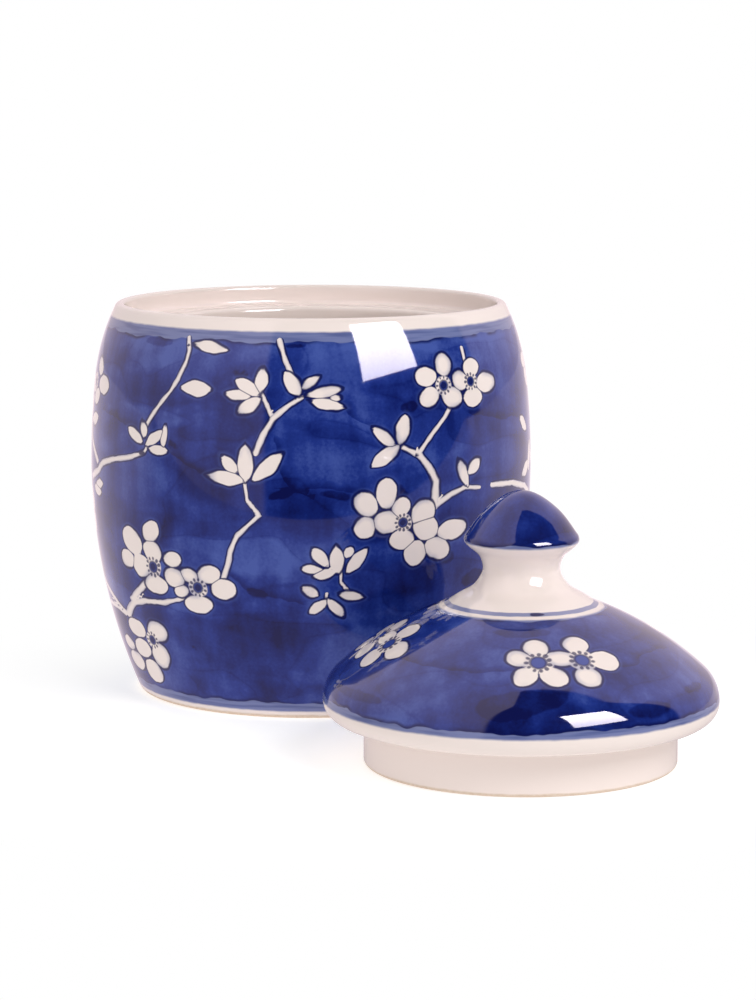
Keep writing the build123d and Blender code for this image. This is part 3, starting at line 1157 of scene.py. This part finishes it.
def jar_front() -> Painting:
    """Prunus branches over the front of the jar: (angle, height, along, across, lean) of each shape."""
    petals = (
        # Left edge, high up.
        (-69, 113, 11, 6, 0), (-74, 119, 8, 5, -30), (-75, 108, 8, 5, 20), (-80, 112, 9, 6, 0),
        # The pair on the left.
        (-44, 65, 8.5, 6.5, 40), (-44, 58, 8.5, 7, -20), (-52, 60.5, 11.5, 8.5, -25),
        (-55, 53.5, 8, 6, 0), (-49, 52, 9, 8, 0), (-44, 46, 11, 6.5, 0), (-37, 49.5, 8.5, 6.5, -10),
        (-37, 56, 7.5, 5, 5),
        (-26, 52, 8.5, 6, 15), (-22, 47, 9, 7, 0), (-32, 51, 6.5, 4.5, -10), (-30, 41, 11, 6, 0),
        (-35, 45, 6, 4, 10),
        # Lower left.
        (-58, 27.5, 12, 6.5, 0), (-47.5, 28, 11, 7.5, 10), (-48.5, 19, 10, 9, 60), (-57.5, 20, 11, 7, 5),
        (-55, 12, 10, 9, 0), (-67, 20, 9, 5, 0), (-65, 14, 12, 7, 0),
        # The great double blossom.
        (20, 81, 10.5, 7, 90), (14.7, 77.5, 9, 7, -50), (20, 71, 9, 7.5, 0), (14.4, 69.5, 7.5, 7, 40),
        (23.8, 76, 7, 6, 60), (30, 73.5, 9.5, 8, 40), (31, 68, 10, 8, -30), (24.2, 64.5, 9, 6.5, 0),
        (28, 59.5, 8.5, 8, 60), (34.7, 60.5, 11, 7, -25), (39.2, 66.5, 13, 6.5, 5),
        # Upper right.
        (32, 120, 8, 6, 0), (37.7, 123.5, 8, 6.5, 90), (32.5, 113, 8, 6, 20),
        (39.6, 112.5, 9.5, 6.5, -20),
        (42.6, 117.8, 7, 6, -45), (47.4, 121.7, 7.5, 5.5, 0), (52.8, 116, 10, 6.5, 0),
        (47, 111.5, 9, 6, 0),
    )  # fmt: skip
    leaves = (
        (-26.5, 130.3, 13, 3.4, -8), (-29.2, 116.2, 12, 4.8, 0),
        (-11.4, 120, 8, 4.2, 85), (-15, 117.4, 9.5, 4, -31), (-17.3, 114.7, 9, 3, -6),
        (-14.6, 111.2, 9, 4, 33),
        (-15.2, 91.5, 13, 5.2, 92), (-19.5, 91.2, 8, 3.8, -42), (-20.3, 86.2, 14, 4.2, -6),
        (-9.7, 90.5, 14, 4.8, 42),
        (-3.5, 118.8, 9, 4.4, -55), (1.1, 119.3, 7, 2.8, 35), (4.4, 116, 12, 3.4, 10),
        (5.3, 112, 12, 3.4, -12),
        (7.3, 114, 4, 2, 0),
        (-49.3, 98, 9.5, 3.4, -28), (-42, 98, 10, 3.4, 34), (-40.7, 94, 9.5, 2.8, 0),
        (-46, 100.5, 6, 2.6, -75),
        (-38.6, 99, 8, 2.2, 82), (-70, 77.5, 9, 3, 8), (-72, 75, 10, 3.4, -6),
        (3.4, 59.3, 8, 3.8, -50), (7.5, 58.3, 10, 4.6, 93), (12.5, 58, 10, 3.8, 50),
        (1.4, 55.2, 7, 2.8, -4),
        (4.5, 53.6, 8, 3, 12), (10.4, 61, 4, 2.6, 60),
        (3, 42, 7.5, 3, 35), (7.2, 41.5, 9, 3.2, -48), (0.8, 47.3, 6, 3, -30), (11.3, 45.6, 8, 2.8, -8),
        (19.5, 100.2, 10.5, 3.4, -40), (24.5, 102.6, 10.5, 4.8, 76), (19.8, 93.8, 12, 4.4, 34),
        (42.4, 86, 10.5, 3.8, -65), (46.2, 87.5, 8, 3.6, 35), (73.6, 98.5, 10, 3.4, -32),
    )  # fmt: skip
    stems = (
        Stroke(((-33.5, 132.5), (-32.7, 129), (-33.1, 125), (-35, 119), (-37.3, 114.5), (-42, 107.5),
                (-45.2, 102)), 0.72, 0.72),
        Stroke(((-44, 95.5), (-45.6, 92.5), (-51.6, 90), (-60, 88), (-67, 85.5), (-71, 82),
                (-78, 79)), 0.56, 1.44),
        Stroke(((-11.4, 115.5), (-10, 112), (-8.6, 107.5)), 0.64, 0.64),
        Stroke(((-7, 132.5), (-5.6, 127), (-3.7, 122)), 1.04, 0.56),
        Stroke(((-1.5, 114), (-4.5, 111.5), (-8.4, 107), (-10.8, 101.5), (-12.4, 96)), 0.72, 1.2),
        Stroke(((-15.4, 85), (-14.8, 79), (-11.8, 74), (-14.5, 70.5), (-17.6, 66.5), (-19.5, 61),
                (-20.5, 56), (-22.2, 50)), 0.48, 1.04),
        Stroke(((-35, 42.2), (-41.8, 39.8), (-50, 39), (-56, 37.2), (-60, 33)), 0.56, 1.76),
        Stroke(((-48.6, 45.3), (-52.4, 41.8), (-56, 38.5)), 1.36, 1.52),
        Stroke(((-60, 31), (-66.7, 34.5), (-71, 36.5), (-78, 40)), 0.72, 1.44),
        Stroke(((-63, 31.5), (-69, 33), (-77, 33)), 0.64, 1.12),
        Stroke(((33.4, 76.5), (33.7, 84), (31.7, 89), (29, 93.5), (24.9, 96.2)), 1.84, 0.88),
        Stroke(((29, 94.5), (32.5, 100), (37, 106), (39.8, 111)), 0.96, 0.56),
        Stroke(((34, 76), (38.5, 79), (43, 80.8), (48, 80)), 1.2, 0.56),
        Stroke(((8.5, 56), (8.6, 50.5), (11.3, 46)), 0.45, 0.48),
        Stroke(((5, 46), (4.6, 42.5)), 0.48, 0.48),
        Stroke(((45.3, 128), (45.4, 124.5)), 0.72, 0.64),
    )  # fmt: skip
    knots = (
        (-33.2, 130.6, 1.6, 1.2, 0), (28.2, 93.6, 1.7, 1.3, 0), (-46.5, 92.2, 4, 1.4, 10),
        (-51, 41, 1.6, 1.1, 0),
        (-14.6, 86, 1.2, 1, 0), (-2.6, 114.2, 1.6, 1.1, 30),
    )  # fmt: skip
    hearts = (
        (-44.2, 52.3, 2.0), (-29.6, 46.9, 1.9), (-50.6, 24.4, 1.8), (24.4, 70.6, 1.7), (37.1, 116.6, 1.8),
        (46.6, 117, 1.7), (-78, 113, 1.8),
    )  # fmt: skip
    washes = (
        Stroke(((-40, 97), (-36, 93.5), (-31, 90), (-26, 86.5))),
        Stroke(((-7, 80.5), (-1, 83), (4, 84), (11, 81.5))),
        Stroke(((9.5, 111), (12, 107), (16.5, 103.5))),
        Stroke(((-18.5, 50.5), (-15, 47), (-9, 45.5), (-3, 43.5))),
        Stroke(((-66, 104), (-58, 103), (-50, 100))),
        Stroke(((-7.5, 98), (-7, 90), (-4, 83.5), (0, 81))),
        Stroke(((47, 106), (58, 103), (70, 102))),
    )
    pools = (
        (26.5, 110, 8, 4.5, 5), (24, 80, 8, 5, -60), (-6, 81.5, 10, 4, 20), (7, 81, 11, 3.5, -10),
        (-17.5, 121.5, 5, 2.6, -35), (-15.8, 122.2, 4, 2.4, -50), (-3, 131.5, 8, 2.6, 0),
        (-44, 131, 14, 4, 0), (50, 66, 7, 8, 60), (38, 57, 7, 6, 0), (-34.3, 24.6, 5, 1.6, -30),
        (-36, 96.5, 6, 2.6, -30), (9.5, 47.5, 3.5, 2.4, 0), (-13, 46.5, 9, 3.4, -14),
    )  # fmt: skip
    return Painting(petals, leaves, stems, hearts, washes, pools, knots)


def jar_sides() -> Painting:
    """Branches that carry the pattern round the sides, and the part low down on the right."""
    petals = (
        (88, 66, 10, 7, 0), (93, 72, 9, 7, 60), (99, 70, 9, 7, -50), (99, 62, 9, 7, 30),
        (92, 59, 9, 7, 90),
        (55, 38, 10, 7, 0), (60, 44, 9, 7, 60), (66, 42, 9, 7, -50), (66, 34, 9, 7, 30),
        (59, 31, 9, 7, 90),
        (82, 120, 9, 6, 0), (87, 125, 8, 6.5, 80), (92, 121, 9, 6, -20), (90, 114, 9, 6.5, 40),
        (83, 114, 9, 6, -40),
    )  # fmt: skip
    leaves = (
        (36, 31, 12, 4, 30), (32, 26, 11, 4, -20), (42, 22, 11, 4, -45), (80, 86, 12, 4, 70),
        (75, 82, 11, 4, 20), (86, 84, 11, 4, -30), (80, 52, 11, 4, -40), (98, 103, 11, 4, 60),
        (104, 100, 11, 4, 10),
        (84, 26, 12, 4, 40), (90, 22, 11, 4, -15), (78, 20, 11, 4, 80),
    )  # fmt: skip
    stems = (
        Stroke(((54, 80), (64, 79), (74, 76), (84, 70), (90, 66)), 1.0, 1.6),
        Stroke(((41, 28), (48, 31), (56, 36)), 0.8, 1.2),
        Stroke(((66, 38), (74, 32), (82, 26)), 1.2, 0.8),
        Stroke(((88, 116), (95, 108), (97, 100), (101, 92), (108, 86)), 0.8, 1.5),
        Stroke(((74, 47), (84, 55), (91, 62)), 0.7, 1.2),
    )
    hearts = ((94, 66, 1.9), (61, 38, 1.9), (87, 118.5, 1.8))
    washes = (Stroke(((60, 58), (70, 61), (82, 60))), Stroke(((30, 14), (42, 12), (56, 15))))
    return Painting(petals, leaves, stems, hearts, washes, ((48, 48, 12, 6, 10), (100, 44, 12, 5, -10)))


def lid_painting() -> Painting:
    """Pairs of blossoms round the dome: (angle, radius, along, across, lean) of each petal."""
    pair = Painting(
        petals=(
            (4, 40.4, 7.5, 7.5, 0), (-3.8, 44.6, 7.5, 6.5, -20), (-1, 51.2, 8, 7, 40),
            (9.2, 51.4, 9, 7.5, -30),
            (13.6, 44.8, 8.5, 6.5, 0), (22.8, 39.8, 8.5, 7.5, 20), (31.2, 47, 10, 8, -10),
            (21.4, 52, 8.5, 8, 0),
        ),
        hearts=((4.2, 46.2, 2.6), (22.2, 46, 2.5)),
    )  # fmt: skip
    washes = (
        Stroke(((-60, 48.8), (-45, 49.6), (-30, 50), (-20, 50.4), (-8, 49.2))),
        Stroke(((36, 49.8), (44, 50.2), (49, 47.6), (56, 47), (70, 48))),
        Stroke(((110, 50), (125, 48), (140, 50), (160, 49))),
        Stroke(((-150, 49), (-135, 51), (-115, 49))),
    )
    pools = (
        (-2, 33.6, 19, 5.5, 0), (-4, 60, 26, 11, 10), (38, 63, 18, 6, 0), (8, 57, 14, 9, 50),
        (-60, 62.5, 30, 4, 0),
        (170, 34, 18, 5, 0), (150, 60, 24, 9, 0), (-125, 60, 20, 8, 0), (62, 61, 14, 4, 0),
    )  # fmt: skip
    extra = Painting(washes=washes, pools=pools)
    return pair.joined(pair.turned(-92), pair.turned(103), pair.turned(178, mirrored=True), extra)


# ---- the studio ---------------------------------------------------------------------------------


def toward(azimuth: float, height: float) -> Vector:
    """The way to an azimuth from the front and an angle above the table, both in degrees."""
    a, e = radians(azimuth), radians(height)
    return Vector((sin(a) * cos(e), -cos(a) * cos(e), sin(e)))


@dataclass(frozen=True)
class Lamp:
    """An area light that shines on the object but isn't mirrored in it."""

    name: str
    place: Spot  # azimuth and angle above the table, as for toward
    distance: float  # metres
    size: Spot
    power: float  # watts


@dataclass(frozen=True)
class Studio:
    """White surroundings with an open dark front, a softbox high on the right, and a pale table.

    A pair of powers is for what stands low or near, and then high or far.
    """

    lens: float = 116.88
    camera_place: Place = (0.02425, -1.170, 0.24415)
    tilt: float = 0.1499  # radians that the camera looks down
    walls: str = "#ffeaef"
    wall_rise: Spot = (-0.3, 0.6)  # upward share of the way between which they grow lighter
    wall_powers: Spot = (0.61, 1.48)
    opening: str = "#272730"
    opening_ends: Spot = (-23.0, 100.0)  # degrees from the front
    opening_edge: float = 2.0
    dome: str = "#fffdfc"
    dome_power: float = 0.53
    cloth: str = "#fdf4fe"
    cloth_rise: Spot = (0.5, 1.2)  # metres
    cloth_powers: Spot = (17.0, 34.0)
    cloth_corners: tuple[Spot, ...] = ((28, 14), (61, 18), (61, 46), (26, 45))
    cloth_middle: Place = (0.04, -0.06, 0.12)
    cloth_distance: float = 1.6
    laminate: str = "#f4f4f3"
    haze: float = 0.46  # light that the table top gets from all the white round it
    table_middle: Place = (0.03, -0.06, 0.0)
    white_from: Spot = (0.05, 0.21)  # metres from there over which it turns plain white
    mirrored: str = "#ffecf2"
    mirrored_depth: Spot = (-0.14, 0.1)  # metres
    mirrored_powers: Spot = (0.5, 1.15)
    table_front: float = -0.37
    lit_middle: Place = (0.02, -0.05, 0.08)
    lamps: tuple[Lamp, ...] = (
        Lamp("key", (40, 38), 1.5, (0.9, 0.7), 9.9),
        Lamp("fill", (-50, 30), 1.6, (1.0, 0.8), 1.6),
    )

    def camera(self) -> None:
        """A long lens a little above the rim."""
        data = bpy.data.cameras.new("camera")
        data.lens, data.sensor_width = self.lens, 36.0
        data.clip_start, data.clip_end = 0.05, 50.0
        camera = shown("camera", data)
        camera.location = self.camera_place
        camera.rotation_euler = (pi / 2 - self.tilt, 0.0, 0.0)
        bpy.context.scene.camera = camera

    def world(self) -> None:
        """Plain white behind; reflections see light walls, and a dark opening at the front."""
        world = bpy.data.worlds.new("studio")
        bpy.context.scene.world = world
        node = partial(add, emptied(world))
        world.cycles.sampling_method = "NONE"
        way = node("ShaderNodeTexCoord", out="Generated")
        right, back, up = node("ShaderNodeSeparateXYZ", (way,)).node.outputs
        around = node(ARCTAN2, (right, node(MULTIPLY, (back, -1.0))))
        masks = []
        for edge, sign in zip(self.opening_ends, (1, -1)):
            soft = radians(self.opening_edge) * sign
            masks.append(node(SMOOTH, (around, radians(edge) - soft, radians(edge) + soft)))
        open_ = node(MULTIPLY, masks)
        walls = node(MIX, {0: open_, 6: linear(self.walls), 7: linear(self.opening)}, MIXED)
        power = node("ShaderNodeMapRange", (up, *self.wall_rise, *self.wall_powers))
        shine = node("ShaderNodeBackground", (walls, power))
        dome = node("ShaderNodeBackground", (linear(self.dome), self.dome_power))
        seen = node("ShaderNodeBackground", (linear("#ffffff"), 1.0))
        rays = node("ShaderNodeLightPath").node.outputs
        lit = node("ShaderNodeMixShader", (rays["Is Glossy Ray"], dome, shine))
        all_ = node("ShaderNodeMixShader", (rays["Is Camera Ray"], lit, seen))
        node("ShaderNodeOutputWorld", (all_,))

    def light(self, lamp: Lamp) -> None:
        """Hangs a lamp."""
        data = bpy.data.lights.new(lamp.name, "AREA")
        data.shape, data.energy = "RECTANGLE", lamp.power
        data.size, data.size_y = lamp.size
        light = shown(lamp.name, data)
        way = toward(*lamp.place)
        light.location = Vector(self.lit_middle) + way * lamp.distance
        light.rotation_euler = (-way).to_track_quat("-Z", "Y").to_euler()
        light.visible_glossy = light.visible_camera = False

    def softbox(self) -> None:
        """The window-shaped softbox that the glaze mirrors high on the right."""
        middle = Vector(self.cloth_middle)
        corners = [middle + toward(*corner) * self.cloth_distance for corner in self.cloth_corners]
        mesh = bpy.data.meshes.new("softbox")
        mesh.from_pydata(corners, [], [(0, 1, 2, 3)])
        card = shown("softbox", mesh)
        material = bpy.data.materials.new("softbox_cloth")
        node = partial(add, emptied(material))
        where = node("ShaderNodeTexCoord", out="Object")
        height = node("ShaderNodeSeparateXYZ", (where,)).node.outputs[2]
        power = node("ShaderNodeMapRange", (height, *self.cloth_rise, *self.cloth_powers))
        glow = node("ShaderNodeEmission", (linear(self.cloth), power))
        node("ShaderNodeOutputMaterial", (glow,))
        mesh.materials.append(material)
        card.visible_camera = card.visible_diffuse = card.visible_shadow = False

    def table(self) -> None:
        """A pale table top, plain white a little way off, and mirrored only up to its front edge."""
        material = bpy.data.materials.new("pale_laminate")
        node = partial(add, emptied(material))
        place = node("ShaderNodeTexCoord", out="Object")
        shift = node("ShaderNodeVectorMath", (place, self.table_middle), operation="SUBTRACT")
        far = node("ShaderNodeVectorMath", (shift,), "Value", operation="LENGTH")
        share = node(SMOOTH, (far, *self.white_from))
        top = node("ShaderNodeBsdfDiffuse", (linear(self.laminate),))
        haze = node("ShaderNodeEmission", (linear("#ffffff"), self.haze))
        near_by = node("ShaderNodeAddShader", (top, haze))
        glow = node("ShaderNodeEmission", (linear("#ffffff"), 1.0))
        both = node("ShaderNodeMixShader", (share, near_by, glow))
        back = node("ShaderNodeSeparateXYZ", (place,)).node.outputs[1]
        power = node("ShaderNodeMapRange", (back, *self.mirrored_depth, *self.mirrored_powers))
        dim = node("ShaderNodeEmission", (linear(self.mirrored), power))
        glossy = node("ShaderNodeLightPath", out="Is Glossy Ray")
        node("ShaderNodeOutputMaterial", (node("ShaderNodeMixShader", (glossy, both, dim)),))
        for name, near, deep in (
            ("table", self.table_front, 12.0),
            ("table_front", -6.0, self.table_front),
        ):
            mesh = bpy.data.meshes.new(name)
            mesh.from_pydata([(-8, near, 0), (8, near, 0), (8, deep, 0), (-8, deep, 0)], [], [(0, 1, 2, 3)])
            mesh.materials.append(material)
            sheet = shown(name, mesh)
            sheet.location.z = -0.1 * MM
            sheet.visible_glossy = name == "table"

    def build(self) -> None:
        """Sets up the whole studio."""
        self.camera()
        self.world()
        self.table()
        self.softbox()
        for lamp in self.lamps:
            self.light(lamp)
        bpy.context.scene.view_settings.view_transform = "Standard"
        bpy.context.scene.view_settings.look = "None"


def main() -> None:
    """Builds the studio and the pieces, and logs each piece's face count."""
    logging.basicConfig(level=logging.INFO, format="%(name)s: %(message)s")
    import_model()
    Studio().build()
    lathe = Lathe()
    for piece in (Jar().build(lathe), *Lid().build(lathe)):
        log.info("%s: %d faces", piece.name, len(piece.data.polygons))


if __name__ == "__main__":
    main()
